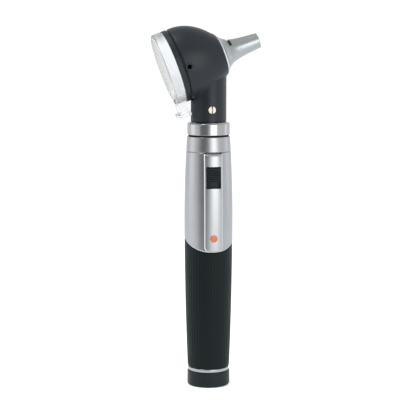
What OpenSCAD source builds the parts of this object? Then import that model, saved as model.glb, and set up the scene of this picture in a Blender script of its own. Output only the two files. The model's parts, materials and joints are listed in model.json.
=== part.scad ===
// Slim pocket otoscope: battery handle, clip-on switch and fibre-optic viewing head.
// Origin at the centre of the end cap's bottom face, +Z up the handle, +X toward the ear.
// The clip, the switch, the neck screw and the air port are on the -Y side.

/* [Handle] */
// Largest radius of the barrel-shaped handle
belly_r = 11.13; // [10.9:0.01:11.4]
// Height of the largest radius above the base
belly_z = 76; // [74:1:80]
// How much thinner the handle is at its two ends
end_drop = 1.33; // [1.1:0.01:1.4]
// Height of the black end cap below the chrome ring
cap_h = 7; // [6.8:0.1:7.05]
// Radius of the end cap
cap_r = 9.8; // [9.7:0.05:9.9]
// Top of the handle, where the head's neck starts
handle_h = 122.2; // [122:0.1:122.25]
// Height of the shell's sloping lower edge, on the handle's axis
cut_z = 68.6; // [67:0.1:70]
// Slope of that edge, lowest at the clip
cut_tilt = 25.9; // [20:0.1:28]
// Wall of the metal shell
shell_wall = 1.2; // [1.1:0.05:1.25]

/* [Batteries] */
// Radius of an AA cell
cell_r = 7.1; // [7:0.05:7.15]
// Length of an AA cell with its tip
cell_h = 50.5; // [50:0.1:50.5]
// Turns of the end cap's thread
cap_turns = 5; // [3:1:5]

/* [Clip and switch] */
// Width of the pocket clip
clip_w = 8.4; // [8:0.1:9]
// Thickness of the pocket clip
clip_t = 1.1; // [0.9:0.1:1.2]
// Lower end of the pocket clip
clip_bottom = 63.7; // [63.4:0.1:64.5]
// Upper end of the pocket clip
clip_top = 108.4; // [108.2:0.1:108.6]
// Travel of the thumb switch
switch_travel = 3.6; // [2:0.1:3.6]

/* [Head] */
// Radius of the head's neck
neck_r = 8.18; // [8.1:0.02:8.3]
// Upward tilt of the line of sight
sight_tilt = 20; // [19:0.5:21]
// Half the height of the oval rear rim
rim_a = 16.9; // [16.5:0.1:17.2]
// Half the width of the oval rear rim
rim_b = 13.6; // [13.2:0.1:13.9]
// Wall of the head housing
head_wall = 1.7; // [1.5:0.1:1.8]
// Thickness of the clear viewing window
window_t = 4.8; // [4.4:0.1:5.2]
// Inner radius of the air port
port_r = 1; // [0.8:0.05:1.1]

/* [Speculum cone] */
// Radius of the cone's bevelled base
cone_base_r = 9.35; // [9.2:0.05:9.4]
// Radius of the cone's open end
cone_tip_r = 3.5; // [3.4:0.05:3.7]
// Length of the cone
cone_h = 18.4; // [17:0.1:19]

/* [Hidden] */
$fn = 72;

eps = 0.01;
run_gap = 0.05;                      // running clearance of parts that turn or slide
black = [0.16, 0.18, 0.20];
satin = [0.75, 0.77, 0.79];
chrome = [0.86, 0.87, 0.88];
nickel = [0.78, 0.74, 0.66];

// Handle stack, from the bottom
grip_z = 10;                         // where the lower barrel curve starts
ring_z = cap_h + 0.1;
grip_foot = ring_z + 1.5;
tube_r = 8.2;
tube_bore = 7.4;
ferrule_bore = 8.45;
boss_r = ferrule_bore - run_gap;
spring_z = 1.8;
plate_z = 5.7;
cell_z = 6.25;
cell_gap = 0.1;
seam_z = 108.9;
groove_z = 115.7;
collar_z = 116.5;
collar_r = belly_r - end_drop;
collar_bore = 6.55;

// Sight line: it passes (sight_x, sight_z) at the rear rim, tilted up toward +X
sight_x = -15;
sight_z = 145.3;
rim_s = -0.5;                        // rear face of the rim along the sight line
rim_t = 2.2;                         // centre of the oval above the sight line
groove_s = 1.6;
bulb_s = 2.2;
front_s = 22;
pivot_t = -12.6;
window_s = rim_s - 0.1;
insert_r = 6.95;
guide_r = 1.8;
guide_drop = 4.6;
bend_r = 8;

// Outer radius of the handle at a height
function barrel_r(z) = z < belly_z
    ? belly_r - end_drop * pow((belly_z - z) / (belly_z - grip_z), 2)
    : belly_r - end_drop * pow((z - belly_z) / (collar_z - belly_z), 2);

// Outer radius of the cone at a distance along the sight line
function cone_r(s) = cone_tip_r + 0.09 * (front_s + cone_h - s)
    + 3.9 * exp(-(s - front_s - 0.6) / 2.6);

// Top and half width of the domed head at a distance along the sight line
function dome(s, rear, front) = rear
    - (rear - front) * pow(max(0, s - 3.5) / (front_s - 3.5), 2.2);

// Solid of the handle's outline between two heights, grown outward by a distance
module barrel(z0, z1, grow) {
    steps = 14;
    rotate_extrude()
        polygon(concat(
            [[0, z0]],
            [for (i = [0 : steps]) let (z = z0 + (z1 - z0) * i / steps) [barrel_r(z) + grow, z]],
            [[0, z1]]
        ));
}

// Straight tube from z0 to z1
module tube(r_out, r_in, z0, z1) {
    translate([0, 0, z0])
        difference() {
            cylinder(r = r_out, h = z1 - z0);
            translate([0, 0, -1])
                cylinder(r = r_in, h = z1 - z0 + 2);
        }
}

// Block on the -Y side, from a height to a height and between two depths
module front_block(w, z0, z1, y_near, y_far) {
    translate([-w / 2, -y_near, z0])
        cube([w, y_near - y_far, z1 - z0]);
}

// Everything below the shell's sloping edge, shifted along its normal
module below_cut(shift) {
    translate([0, 0, cut_z])
        rotate([cut_tilt, 0, 0])
            translate([-40, -40, -80 + shift])
                cube([80, 80, 80]);
}

// Round wire coil standing on z = 0
module coil(r, wire, pitch, turns) {
    sides = 8;
    per_turn = 16;
    rings = per_turn * turns;
    points = [for (i = [0 : rings]) for (j = [0 : sides - 1])
        let (a = 360 * i / per_turn, b = 360 * j / sides)
        [(r + wire * cos(b)) * cos(a), (r + wire * cos(b)) * sin(a),
            wire + pitch * i / per_turn + wire * sin(b)]];
    walls = [for (i = [0 : rings - 1]) for (j = [0 : sides - 1])
        let (k = (j + 1) % sides)
        [i * sides + j, (i + 1) * sides + j, (i + 1) * sides + k, i * sides + k]];
    start = [for (j = [0 : sides - 1]) j];
    finish = [for (j = [sides - 1 : -1 : 0]) rings * sides + j];
    polyhedron(points, concat(walls, [start, finish]));
}

// Puts a child on the sight line: its z runs along the line, its -x points up
module on_sight(s) {
    translate([sight_x, 0, sight_z])
        rotate([0, 90 - sight_tilt, 0])
            translate([0, 0, s])
                children();
}

// Flat oval across the sight line: half height, half width, height above the line
module oval(a, b, t) {
    polygon([for (i = [0 : 47]) [-t + a * cos(i * 7.5), b * sin(i * 7.5)]]);
}

// Slice of an oval prism along the sight line
module oval_slice(s0, s1, a, b, t) {
    on_sight(s0)
        linear_extrude(height = s1 - s0)
            oval(a, b, t);
}

// Domed bulb of the head, moved inward by a wall
module bulb(inset, s_end) {
    hull() {
        for (s = [bulb_s - inset, 6, 10.5, 14.5, 17.5, s_end - 1.5, s_end - 0.05]) {
            up = dome(s, rim_a + rim_t, cone_base_r + 0.15) - inset;
            low = dome(s, rim_a - rim_t, cone_base_r + 0.15) - inset;
            side = dome(s, rim_b, cone_base_r + 0.1) - inset;
            oval_slice(s, s + 0.05, (up + low) / 2, side, (up - low) / 2);
        }
    }
}

// Room kept free round the neck, under the head
module neck_relief() {
    translate([0, 0, 120])
        cylinder(r = neck_r + 0.7, h = 14.9);
}

module end_cap() {
    edge = 1.1;
    color(black)
        difference() {
            union() {
                rotate_extrude()
                    polygon(concat(
                        [[0, 0]],
                        [for (a = [0 : 15 : 90])
                            [cap_r - edge + edge * sin(a), edge - edge * cos(a)]],
                        [[cap_r, cap_h], [0, cap_h]]
                    ));
                translate([0, 0, cap_h - eps])
                    cylinder(r = boss_r, h = cap_turns * 1.2 + eps);
            }
            translate([0, 0, spring_z])
                cylinder(r = tube_bore, h = 20);
        }
}

module cap_seal() {
    color([0.05, 0.05, 0.05])
        translate([0, 0, cap_h + 0.65])
            rotate_extrude()
                translate([boss_r + 0.3, 0])
                    circle(r = 0.29, $fn = 24);
}

module cap_spring() {
    color(chrome)
        translate([0, 0, spring_z])
            coil(5.2, 0.4, 0.78, 4);
}

module cap_contact() {
    color(nickel)
        translate([0, 0, plate_z])
            cylinder(r = 6.2, h = cell_z - plate_z - run_gap);
}

module end_ring() {
    color(chrome)
        difference() {
            union() {
                translate([0, 0, ring_z])
                    cylinder(r = cap_r - 0.3, h = grip_foot - ring_z);
                translate([0, 0, grip_foot - eps])
                    cylinder(r = 9.05, h = 9);
            }
            cylinder(r = ferrule_bore, h = 14);
            translate([0, 0, ring_z - 1])
                cylinder(r = boss_r + 0.68, h = 2.2);
            cylinder(r = tube_r + 0.03, h = 30);
        }
}

module grip_sleeve() {
    color(black)
        difference() {
            union() {
                difference() {
                    barrel(grip_foot, 86, -0.12);
                    difference() {
                        translate([-40, -40, 40])
                            cube([80, 80, 60]);
                        below_cut(-0.05);
                    }
                }
                difference() {
                    barrel(50, 86, -shell_wall - 0.05);
                    difference() {
                        translate([0, 0, 49])
                            cylinder(r = 20, h = 3);
                        below_cut(0);
                    }
                }
            }
            translate([0, 0, -1])
                cylinder(r = tube_r, h = 100);
            translate([0, 0, -1])
                cylinder(r = 9.05, h = grip_foot + 10);
        }
}

module battery_tube() {
    color([0.68, 0.69, 0.70])
        tube(tube_r, tube_bore, 13.6, 108.3);
}

module cell(z0) {
    translate([0, 0, z0]) {
        cylinder(r = cell_r, h = cell_h - 1.2);
        translate([0, 0, cell_h - 1.2 - eps])
            cylinder(r = 2.7, h = 1.2 + eps);
    }
}

module battery_lower() {
    color([0.72, 0.55, 0.30])
        cell(cell_z);
}

module battery_upper() {
    color([0.72, 0.55, 0.30])
        cell(cell_z + cell_h + cell_gap);
}

module handle_shell() {
    color(satin)
        difference() {
            barrel(60, seam_z - 0.08, 0);
            barrel(59, seam_z + 1, -shell_wall);
            below_cut(0);
            front_block(6.8, 92.6, 103, 20, 5);
            front_block(4.2, 104.3, seam_z + 1, 20, 5);
            translate([-4, -9.6, 106.3])
                rotate([0, 90, 0])
                    cylinder(r = 0.6, h = 8, $fn = 32);
        }
}

module shell_top_ring() {
    color(satin)
        difference() {
            barrel(seam_z, groove_z, 0);
            translate([0, 0, 100])
                cylinder(r = tube_r + 0.1, h = 30);
            translate([0, 0, 112.5])
                cylinder(r = 8.6, h = 10);
        }
}

module collar_seal() {
    color([0.06, 0.06, 0.07])
        tube(9.3, 8.6, groove_z + 0.02, collar_z - 0.02);
}

module locking_collar() {
    bevel = 0.7;
    color(chrome)
        difference() {
            union() {
                translate([0, 0, 112.6])
                    cylinder(r = 8.6, h = collar_z - 112.6 + eps);
                translate([0, 0, collar_z])
                    cylinder(r = collar_r, h = handle_h - collar_z - bevel);
                translate([0, 0, handle_h - bevel - eps])
                    cylinder(r1 = collar_r, r2 = collar_r - bevel, h = bevel + eps);
            }
            cylinder(r = collar_bore, h = 200);
        }
}

module contact_block() {
    color([0.85, 0.83, 0.76])
        difference() {
            translate([0, 0, 108.4])
                cylinder(r = tube_r, h = 4);
            cylinder(r = 1.25, h = 200);
            translate([0, 0, 110.2])
                cylinder(r = 2.6, h = 10);
        }
}

module contact_spring() {
    color(chrome)
        translate([0, 0, 110.25])
            coil(1.9, 0.2, 0.48, 4);
}

module contact_pin() {
    color([0.80, 0.66, 0.32])
        union() {
            translate([0, 0, 107.45])
                cylinder(r = 1.2, h = 7.7);
            translate([0, 0, 112.7])
                cylinder(r = 2.3, h = 0.6);
        }
}

module switch_bezel() {
    color(black)
        difference() {
            intersection() {
                difference() {
                    barrel(92, 104, 0.15);
                    barrel(91, 105, -shell_wall);
                }
                front_block(6.76, 92.65, 102.95, 20, 5);
            }
            front_block(2.6, 95.9, 101.7, 20, 5);
        }
}

module switch_contact() {
    color(nickel)
        intersection() {
            tube(8.45, tube_r + 0.02, 92, 103.5);
            front_block(4, 90, 110, 20, 4);
        }
}

module switch_slider() {
    ridges = 6;
    pitch = 1;
    top = 102;
    color(black)
        difference() {
            union() {
                front_block(6, 96, top, 12.5, 11.2);
                front_block(2.2, 99.1, 101.4, 11.3, 8.9);
                front_block(4, 97.8, 101.6, 9.1, 8.6);
            }
            for (i = [1 : ridges - 1])
                front_block(7, top - i * pitch - 0.15, top - i * pitch + 0.15, 13, 12.15);
        }
}

// Front outline of the clip: square at the top, round corners at the bottom
module clip_outline() {
    corner = 2.4;
    translate([-clip_w / 2, clip_bottom + corner])
        square([clip_w, clip_top - clip_bottom - corner]);
    translate([-clip_w / 2 + corner, clip_bottom])
        square([clip_w - 2 * corner, corner + 1]);
    for (side = [-1, 1])
        translate([side * (clip_w / 2 - corner), clip_bottom + corner])
            circle(r = corner);
}

module pocket_clip() {
    gap = 0.3;
    color(satin)
        difference() {
            union() {
                intersection() {
                    difference() {
                        barrel(60, 110, gap + clip_t);
                        barrel(59, 111, gap);
                    }
                    rotate([90, 0, 0])
                        linear_extrude(height = 20)
                            clip_outline();
                }
                front_block(3.6, 104.9, 107.7, 11.2, 8.7);
            }
            front_block(6.8, 92.7, 102.6, 20, 5);
            translate([-5, -9.6, 106.3])
                rotate([0, 90, 0])
                    cylinder(r = 0.65, h = 10, $fn = 32);
            translate([0, 0, 70])
                rotate([90, 0, 0])
                    cylinder(r = 1.7, h = 13);
        }
}

module marker_dot() {
    color([0.85, 0.42, 0.18])
        intersection() {
            difference() {
                barrel(60, 80, 0.3 + clip_t + 0.03);
                barrel(59, 81, 0.3);
            }
            translate([0, 0, 70])
                rotate([90, 0, 0])
                    cylinder(r = 1.7, h = 14);
        }
}

module clip_pin() {
    color(chrome)
        translate([-3.2, -9.6, 106.3])
            rotate([0, 90, 0])
                cylinder(r = 0.6, h = 6.4, $fn = 32);
}

module clip_spring() {
    color(chrome)
        intersection() {
            tube(8.54, tube_r + 0.02, 104.6, seam_z - 0.6);
            front_block(1.6, 100, 110, 20, 5);
        }
}

module snap_ring() {
    color(chrome)
        difference() {
            tube(collar_bore - run_gap, 6, 118.4, 119.2);
            rotate([0, 0, 80])
                translate([0, -1, 118])
                    cube([10, 2, 2]);
        }
}

module neck_insert() {
    color(nickel)
        difference() {
            union() {
                translate([0, 0, 113.5])
                    cylinder(r = collar_bore - run_gap, h = 12);
                translate([0, 0, handle_h + 0.15])
                    cylinder(r = insert_r, h = 11.2);
            }
            cylinder(r = 5.2, h = 200);
            tube(8, 5.95, 118.35, 119.25);
            translate([0, 0, 128])
                rotate([90, 0, 0])
                    cylinder(r = 0.95, h = 20, $fn = 32);
        }
}

module neck_screw() {
    color(nickel)
        translate([0, 0, 128])
            rotate([90, 0, 0])
                difference() {
                    union() {
                        translate([0, 0, 5.5])
                            cylinder(r = 0.95, h = 2.2, $fn = 32);
                        translate([0, 0, 7.6])
                            cylinder(r = 1.72, h = 0.6);
                        translate([0, 0, 8.2 - eps])
                            cylinder(r1 = 1.72, r2 = 1.35, h = 0.3);
                    }
                    translate([-0.2, -3, 8.1])
                        cube([0.4, 6, 1]);
                }
}

module led_module() {
    color([0.62, 0.64, 0.66])
        union() {
            translate([0, 0, 115.2])
                cylinder(r = 1.6, h = 0.7);
            translate([0, 0, 115.8])
                cylinder(r = 5.15, h = 10.2);
            translate([0, 0, 125.9])
                cylinder(r = 1.6, h = 0.7);
        }
}

module led_lens() {
    color([0.85, 0.92, 0.97, 0.5])
        translate([0, 0, 126.7])
            union() {
                cylinder(r = 3.2, h = 0.6);
                translate([0, 0, 0.5])
                    intersection() {
                        sphere(r = 2.4);
                        cylinder(r = 3, h = 1.8);
                    }
            }
}

module light_guide() {
    bend = 90 - sight_tilt;
    s_cross = (-sight_x - guide_drop * sin(sight_tilt)) / cos(sight_tilt);
    z_cross = sight_z - guide_drop * cos(sight_tilt) + s_cross * sin(sight_tilt);
    tangent = bend_r * tan(bend / 2);
    color([0.88, 0.90, 0.82])
        union() {
            translate([0, 0, 129.3])
                cylinder(r = guide_r, h = z_cross - tangent - 129.3, $fn = 40);
            translate([bend_r, 0, z_cross - tangent])
                rotate([90, 0, 0])
                    rotate([0, 0, 180 - bend])
                        rotate_extrude(angle = bend)
                            translate([bend_r, 0])
                                circle(r = guide_r, $fn = 40);
            on_sight(s_cross + tangent)
                translate([guide_drop, 0, 0])
                    cylinder(r = guide_r, h = front_s + 0.4 - s_cross - tangent, $fn = 40);
            translate([0, 0, z_cross - tangent - 1])
                cylinder(r = guide_r + 0.3, h = 2, $fn = 40);
            on_sight(s_cross + tangent - 1)
                translate([guide_drop, 0, 0])
                    cylinder(r = guide_r + 0.3, h = 2, $fn = 40);
        }
}

module head_housing() {
    color(black)
        difference() {
            union() {
                difference() {
                    bulb(0, front_s);
                    neck_relief();
                }
                translate([0, 0, handle_h + 0.1])
                    cylinder(r = neck_r, h = 22);
            }
            bulb(head_wall, front_s - 2.2);
            translate([0, 0, 120])
                cylinder(r = insert_r + run_gap, h = 14);
            translate([0, 0, 120])
                cylinder(r = guide_r + 0.5, h = 24);
            on_sight(10)
                cylinder(r = 7.4, h = 20);
            on_sight(4.2)
                rotate([90, 0, 0])
                    translate([-1, 0, 0])
                        cylinder(r = 1.95, h = 30);
            translate([0, 0, 128])
                rotate([90, 0, 0])
                    cylinder(r = 1.75, h = 20);
        }
}

module rear_rim() {
    color(black)
        difference() {
            union() {
                oval_slice(rim_s, groove_s, rim_a, rim_b, rim_t);
                oval_slice(groove_s - eps, bulb_s, rim_a - 0.7, rim_b - 0.7, rim_t);
            }
            oval_slice(rim_s - 1, bulb_s + 1, 12.2, 10.4, 3.8);
            oval_slice(rim_s - 1, rim_s + 0.6, 13.3, 11.4, 3.8);
            neck_relief();
            on_sight(-5)
                translate([-pivot_t, 0, 0])
                    cylinder(r = 1, h = 20, $fn = 40);
        }
}

module window_seal() {
    color([0.05, 0.05, 0.05])
        difference() {
            oval_slice(rim_s, rim_s + 0.58, 13.25, 11.35, 3.8);
            oval_slice(rim_s - 1, rim_s + 1, 12.4, 10.6, 3.8);
        }
}

module window_pin() {
    color(chrome)
        on_sight(window_s - window_t - 0.6)
            translate([-pivot_t, 0, 0]) {
                cylinder(r = 1.8, h = 0.55);
                cylinder(r = 1, h = window_t + 2.9, $fn = 40);
            }
}

module viewing_window() {
    back = window_s - window_t;
    tab_w = 10;
    color([0.90, 0.94, 0.96, 0.4])
        difference() {
            union() {
                oval_slice(back, window_s, rim_a - 0.1, rim_b - 0.1, rim_t);
                on_sight(back)
                    translate([12, -tab_w / 2, 0])
                        cube([8.6, tab_w, window_t - 0.4]);
                on_sight(back - 1.2)
                    translate([18.6, -tab_w / 2, 0])
                        cube([2, tab_w, window_t + 0.4]);
                on_sight(back - 0.5)
                    intersection() {
                        translate([-rim_t - 1.8, 0, 80])
                            sphere(r = 80, $fn = 120);
                        translate([-rim_t - 1.8, 0, 0])
                            cylinder(r = 9, h = 2);
                    }
            }
            on_sight(-20)
                translate([-pivot_t, 0, 0])
                    cylinder(r = 1 + run_gap, h = 40, $fn = 40);
            translate([0, 0, 110])
                cylinder(r = neck_r + 0.6, h = 24);
        }
}

module port_bush() {
    color([0.10, 0.11, 0.12])
        on_sight(4.2)
            rotate([90, 0, 0])
                translate([-1, 0, 0])
                    tube(1.95, port_r, 10.9, 14.1);
}

module speculum_cone() {
    wall = 0.5;
    tip = front_s + cone_h;
    steps = 16;
    flare = front_s + 0.6;
    function flare_s(i) = flare + (tip - 0.6 - flare) * pow(i / steps, 1.5);
    color(satin)
        difference() {
            on_sight(0)
                rotate_extrude()
                    polygon(concat(
                        [[7.35, front_s - 2], [7.35, front_s], [cone_base_r, front_s],
                            [cone_base_r - 0.35, flare]],
                        [for (i = [1 : steps]) [cone_r(flare_s(i)), flare_s(i)]],
                        [for (a = [30 : 30 : 90])
                            [cone_r(tip) - 0.25 + 0.25 * cos(a), tip - 0.25 + 0.25 * sin(a)]],
                        [for (i = [steps : -1 : 0]) [min(6.7, cone_r(flare_s(i)) - wall), flare_s(i)]],
                        [[6.7, front_s - 2]]
                    ));
            on_sight(26.4)
                rotate([0, 0, 122])
                    rotate_extrude(angle = 116)
                        translate([4.6, 0])
                            square([4, 1.1]);
        }
}

// Thin tapered layer inside the cone, between two distances from its outer face
module cone_layer(outer, inner) {
    s0 = front_s + 4;
    s1 = front_s + cone_h - 0.3;
    steps = 10;
    on_sight(0)
        rotate_extrude()
            polygon(concat(
                [for (i = [0 : steps]) let (s = s0 + (s1 - s0) * i / steps) [cone_r(s) - outer, s]],
                [for (i = [steps : -1 : 0]) let (s = s0 + (s1 - s0) * i / steps) [cone_r(s) - inner, s]]
            ));
}

module fibre_ring() {
    color([0.90, 0.92, 0.84])
        cone_layer(0.56, 0.86);
}

module cone_liner() {
    color([0.08, 0.08, 0.09])
        cone_layer(0.88, 1.14);
}

end_cap();
cap_seal();
cap_spring();
cap_contact();
end_ring();
grip_sleeve();
battery_tube();
battery_lower();
battery_upper();
handle_shell();
shell_top_ring();
collar_seal();
locking_collar();
contact_block();
contact_spring();
contact_pin();
switch_bezel();
switch_contact();
switch_slider();
pocket_clip();
marker_dot();
clip_pin();
clip_spring();
snap_ring();
neck_insert();
neck_screw();
led_module();
led_lens();
light_guide();
head_housing();
rear_rim();
window_seal();
window_pin();
viewing_window();
port_bush();
speculum_cone();
fibre_ring();
cone_liner();
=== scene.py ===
# %% [markdown]
# # A pocket otoscope, piece by piece
#
# This lesson dresses a finished mechanical model of a pocket otoscope: a slim battery
# handle with a thumb switch and a sprung clip, and a black viewing head with a clear
# swivel window and a metal cone. The mechanical model fixes every size and every joint.
# We load it first, and everything that follows is placed from it.

# %% Load the mechanical model
import json
import math
import bmesh
import bpy
import numpy as np
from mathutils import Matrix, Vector


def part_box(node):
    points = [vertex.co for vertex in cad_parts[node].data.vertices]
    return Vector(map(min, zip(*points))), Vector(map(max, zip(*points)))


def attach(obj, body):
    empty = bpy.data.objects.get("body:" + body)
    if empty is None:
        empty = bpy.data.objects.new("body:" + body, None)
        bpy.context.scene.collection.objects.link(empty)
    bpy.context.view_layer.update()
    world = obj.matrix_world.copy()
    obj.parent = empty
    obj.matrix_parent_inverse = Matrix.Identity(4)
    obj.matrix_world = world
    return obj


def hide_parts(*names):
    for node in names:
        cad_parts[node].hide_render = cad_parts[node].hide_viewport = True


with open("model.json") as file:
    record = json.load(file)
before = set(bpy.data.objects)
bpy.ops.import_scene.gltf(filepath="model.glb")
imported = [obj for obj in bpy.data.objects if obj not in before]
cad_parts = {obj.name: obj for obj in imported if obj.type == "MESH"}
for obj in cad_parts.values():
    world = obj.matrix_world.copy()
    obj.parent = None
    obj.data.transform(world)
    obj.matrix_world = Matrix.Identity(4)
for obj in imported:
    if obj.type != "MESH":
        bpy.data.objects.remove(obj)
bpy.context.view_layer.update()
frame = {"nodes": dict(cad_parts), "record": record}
nodes = frame["nodes"]
mm = 0.001


def placed(name, data):
    """An object of that name in the scene, from a mesh, a camera or a lamp."""
    thing = bpy.data.objects.new(name, data)
    bpy.context.scene.collection.objects.link(thing)
    return thing


print("pieces in the mechanical model:", len(nodes))

# %% [markdown]
# ## Places that the whole lesson uses
#
# The handle stands on the origin with +Z up, so heights along it are read straight from
# the boxes of its pieces. The head looks along its own tilted line of sight. The model
# states a mount on that line, and its position and direction give us a second set of
# axes: s runs along the line towards the ear, t stands up from it, and y runs across.

# %% Heights, and the tilted line of sight
def bottom(node):
    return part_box(node)[0].z / mm


def top(node):
    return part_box(node)[1].z / mm


def half_width(node):
    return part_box(node)[1].x / mm


seat = next(m for m in frame["record"]["mounts"] if m["name"] == "speculum_seat")
seat_s = 33.0
along = np.array(seat["axis"], float)
along /= np.linalg.norm(along)
upward = np.array((-along[2], 0, along[0]))
sight_zero = np.array(seat["pos_m"], float) / mm - along * seat_s


def from_sight(s, t, y):
    """Points given along, above and across the line of sight, as x, y, z in mm."""
    s, t, y = np.broadcast_arrays(*(np.asarray(v, float) for v in (s, t, y)))
    point = sight_zero + s[..., None] * along + t[..., None] * upward
    point[..., 1] = y
    return point


def to_sight(point):
    """The other way round: s, t and y of points given as x, y, z in mm."""
    away = point - sight_zero
    return away @ along, away @ upward, point[..., 1]


print("sight line passes", np.round(sight_zero, 2), "towards", np.round(along, 3))

# %% [markdown]
# Two outlines are needed early, because the finishes draw bright lines along them: the
# slanted joint between the grip and the shell, and the clip with its rounded end.

# %% Slanted joint and clip outline
cut_z = 68.6
cut_slope = math.tan(math.radians(25.9))
clip_low, clip_top = bottom("pocket_clip"), top("pocket_clip")
clip_half = half_width("pocket_clip")
corner = 2.4
print("clip is", round(2 * clip_half, 2), "mm wide and", round(clip_top - clip_low, 2), "mm long")

# %% [markdown]
# ## Camera
#
# A product camera stands a long way off with a long lens, level with the top of the head,
# so that verticals stay almost parallel. It is turned a little to the window's side, which
# shows the clip, the switch and the edge of the clear window at once.

# %% Camera level with the top of the head
view_azimuth = math.radians(-11.5)
camera_distance = 648
camera_height = 166.9
aim_height = 86.2
aim_left = 3.9
focal_length = 127.8

toward_camera = Vector((math.sin(view_azimuth), -math.cos(view_azimuth), 0))
view_right = Vector((math.cos(view_azimuth), math.sin(view_azimuth), 0))
camera = placed("camera", bpy.data.cameras.new("camera"))
camera.data.lens = focal_length
camera.location = (toward_camera * camera_distance + Vector((0, 0, camera_height))) * mm
aim = (Vector((0, 0, aim_height)) - view_right * aim_left) * mm
camera.rotation_euler = (aim - camera.location).to_track_quat("-Z", "Y").to_euler()
camera.data.clip_start = 0.01
bpy.context.scene.camera = camera
bpy.context.scene.view_settings.view_transform = "Standard"
print("camera at", [round(v, 3) for v in camera.location])

# %% [markdown]
# ## Sums written as sums
#
# Shader networks are easier to read as arithmetic. A Wire holds one output socket of a
# material, and adding or multiplying wires adds Math nodes. Every other kind of node
# comes from its make method: the type, its settings, and then what its sockets take.

# %% A wire that can be added, multiplied and compared
class Wire:
    def __init__(self, tree, socket=None):
        self.tree = tree
        self.socket = socket

    def make(self, kind, settings=None, sockets=None, out=0):
        """Adds a node: settings are set first, then values or wires go to its sockets."""
        node = self.tree.nodes.new(kind)
        for key, value in (settings or {}).items():
            setattr(node, key, value)
        for key, value in (sockets or {}).items():
            if isinstance(value, Wire):
                self.tree.links.new(value.socket, node.inputs[key])
            else:
                node.inputs[key].default_value = value
        return Wire(self.tree, node.outputs[out] if node.outputs else None)

    def math(self, operation, *terms):
        sockets = dict(enumerate(terms))
        return self.make("ShaderNodeMath", {"operation": operation}, sockets)

    def __add__(self, other):
        return self.math("ADD", self, other)

    def __sub__(self, other):
        return self.math("SUBTRACT", self, other)

    def __rsub__(self, other):
        return self.math("SUBTRACT", other, self)

    def __mul__(self, other):
        return self.math("MULTIPLY", self, other)

    def __truediv__(self, other):
        return self.math("DIVIDE", self, other)

    def __rtruediv__(self, other):
        return self.math("DIVIDE", other, self)

    def __pow__(self, other):
        return self.math("POWER", self, other)

    def __rpow__(self, other):
        return self.math("POWER", other, self)

    def __abs__(self):
        return self.math("ABSOLUTE", self)

    def at_least(self, low):
        return self.math("MAXIMUM", self, low)

    __radd__ = __add__
    __rmul__ = __mul__

    def dot(self, direction):
        """How far this vector reaches in a fixed direction."""
        settings = {"operation": "DOT_PRODUCT"}
        return self.make("ShaderNodeVectorMath", settings, {0: self, 1: tuple(direction)}, out=1)

    def smooth(self, low, high):
        """0 below low and 1 above high, with a soft step between."""
        settings = {"interpolation_type": "SMOOTHSTEP"}
        limits = {"Value": self, "From Min": low, "From Max": high}
        return self.make("ShaderNodeMapRange", settings, limits)

    def blend(self, low, high):
        """A colour between low and high, by this wire."""
        sockets = {0: self, 6: low, 7: high}
        return self.make("ShaderNodeMix", {"data_type": "RGBA"}, sockets, out=2)


print("a wire can be added, multiplied, smoothed and blended")

# %% [markdown]
# ## Floor, world and lamps
#
# A satin metal tube is a picture of the room round it. The room here is a pale tent: white
# behind the object and greyer towards the camera. One dark opening at the front left draws
# the tube's dark band, and a wide soft lamp at the front right draws its bright one.

# %% A pale tent with one dark opening
def pale(level):
    return (level, level, level, 1)


def level_way(azimuth):
    """A level direction: 0 degrees points at the front, and negative angles to the left."""
    angle = math.radians(azimuth)
    return Vector((math.sin(angle), -math.cos(angle), 0))


dark_way = level_way(-35)


def light_tent(behind, front, overhead, dark):
    """Background light: levels behind the object, in front, above, and in the opening."""
    world = bpy.data.worlds.new("tent")
    world.use_nodes = True
    world.node_tree.nodes.clear()
    start = Wire(world.node_tree)
    ray = start.make("ShaderNodeTexCoord")
    facing = ray.dot(toward_camera)
    opening = ray.dot(dark_way)
    parts = ray.make("ShaderNodeSeparateXYZ", None, {0: ray}, out=2)
    level = facing.smooth(0.3, 0.9) * (front - behind) + behind
    level = level + opening.smooth(0.84, 0.98) * (dark - level)
    level = level + parts.smooth(0.3, 0.95) * (overhead - level)
    glow = level.make("ShaderNodeBackground", None, {"Color": pale(1), "Strength": level})
    level.make("ShaderNodeOutputWorld", None, {"Surface": glow})
    bpy.context.scene.world = world


light_tent(behind=1.02, front=0.42, overhead=0.8, dark=0.04)
print("world:", bpy.context.scene.world.name)

# %% [markdown]
# The lamps are large soft boxes, as round metal needs. A wide one at the front right makes
# the broad highlight. One at each side lights the edges of the tube and of the window, and
# a small one above picks out the tops of the rings.


# %% Lamps
lamp_target = Vector((0, 0, 0.09))


def soft_lamp(name, azimuth, distance, height, size, watts):
    data = bpy.data.lights.new(name, "AREA")
    data.shape = "RECTANGLE"
    data.size, data.size_y = size
    data.energy = watts
    lamp = placed(name, data)
    lamp.location = level_way(azimuth) * distance + Vector((0, 0, height))
    lamp.rotation_euler = (lamp_target - lamp.location).to_track_quat("-Z", "Y").to_euler()


soft_lamp("key_bank", 17, 0.7, 0.2, (0.4, 0.5), 1.8)
soft_lamp("left_bank", -104, 0.8, 0.3, (0.5, 0.6), 0.8)
soft_lamp("right_bank", 96, 0.8, 0.3, (0.3, 0.6), 0.4)
soft_lamp("overhead", -70, 0.4, 0.85, (0.3, 0.3), 2.6)
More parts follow.
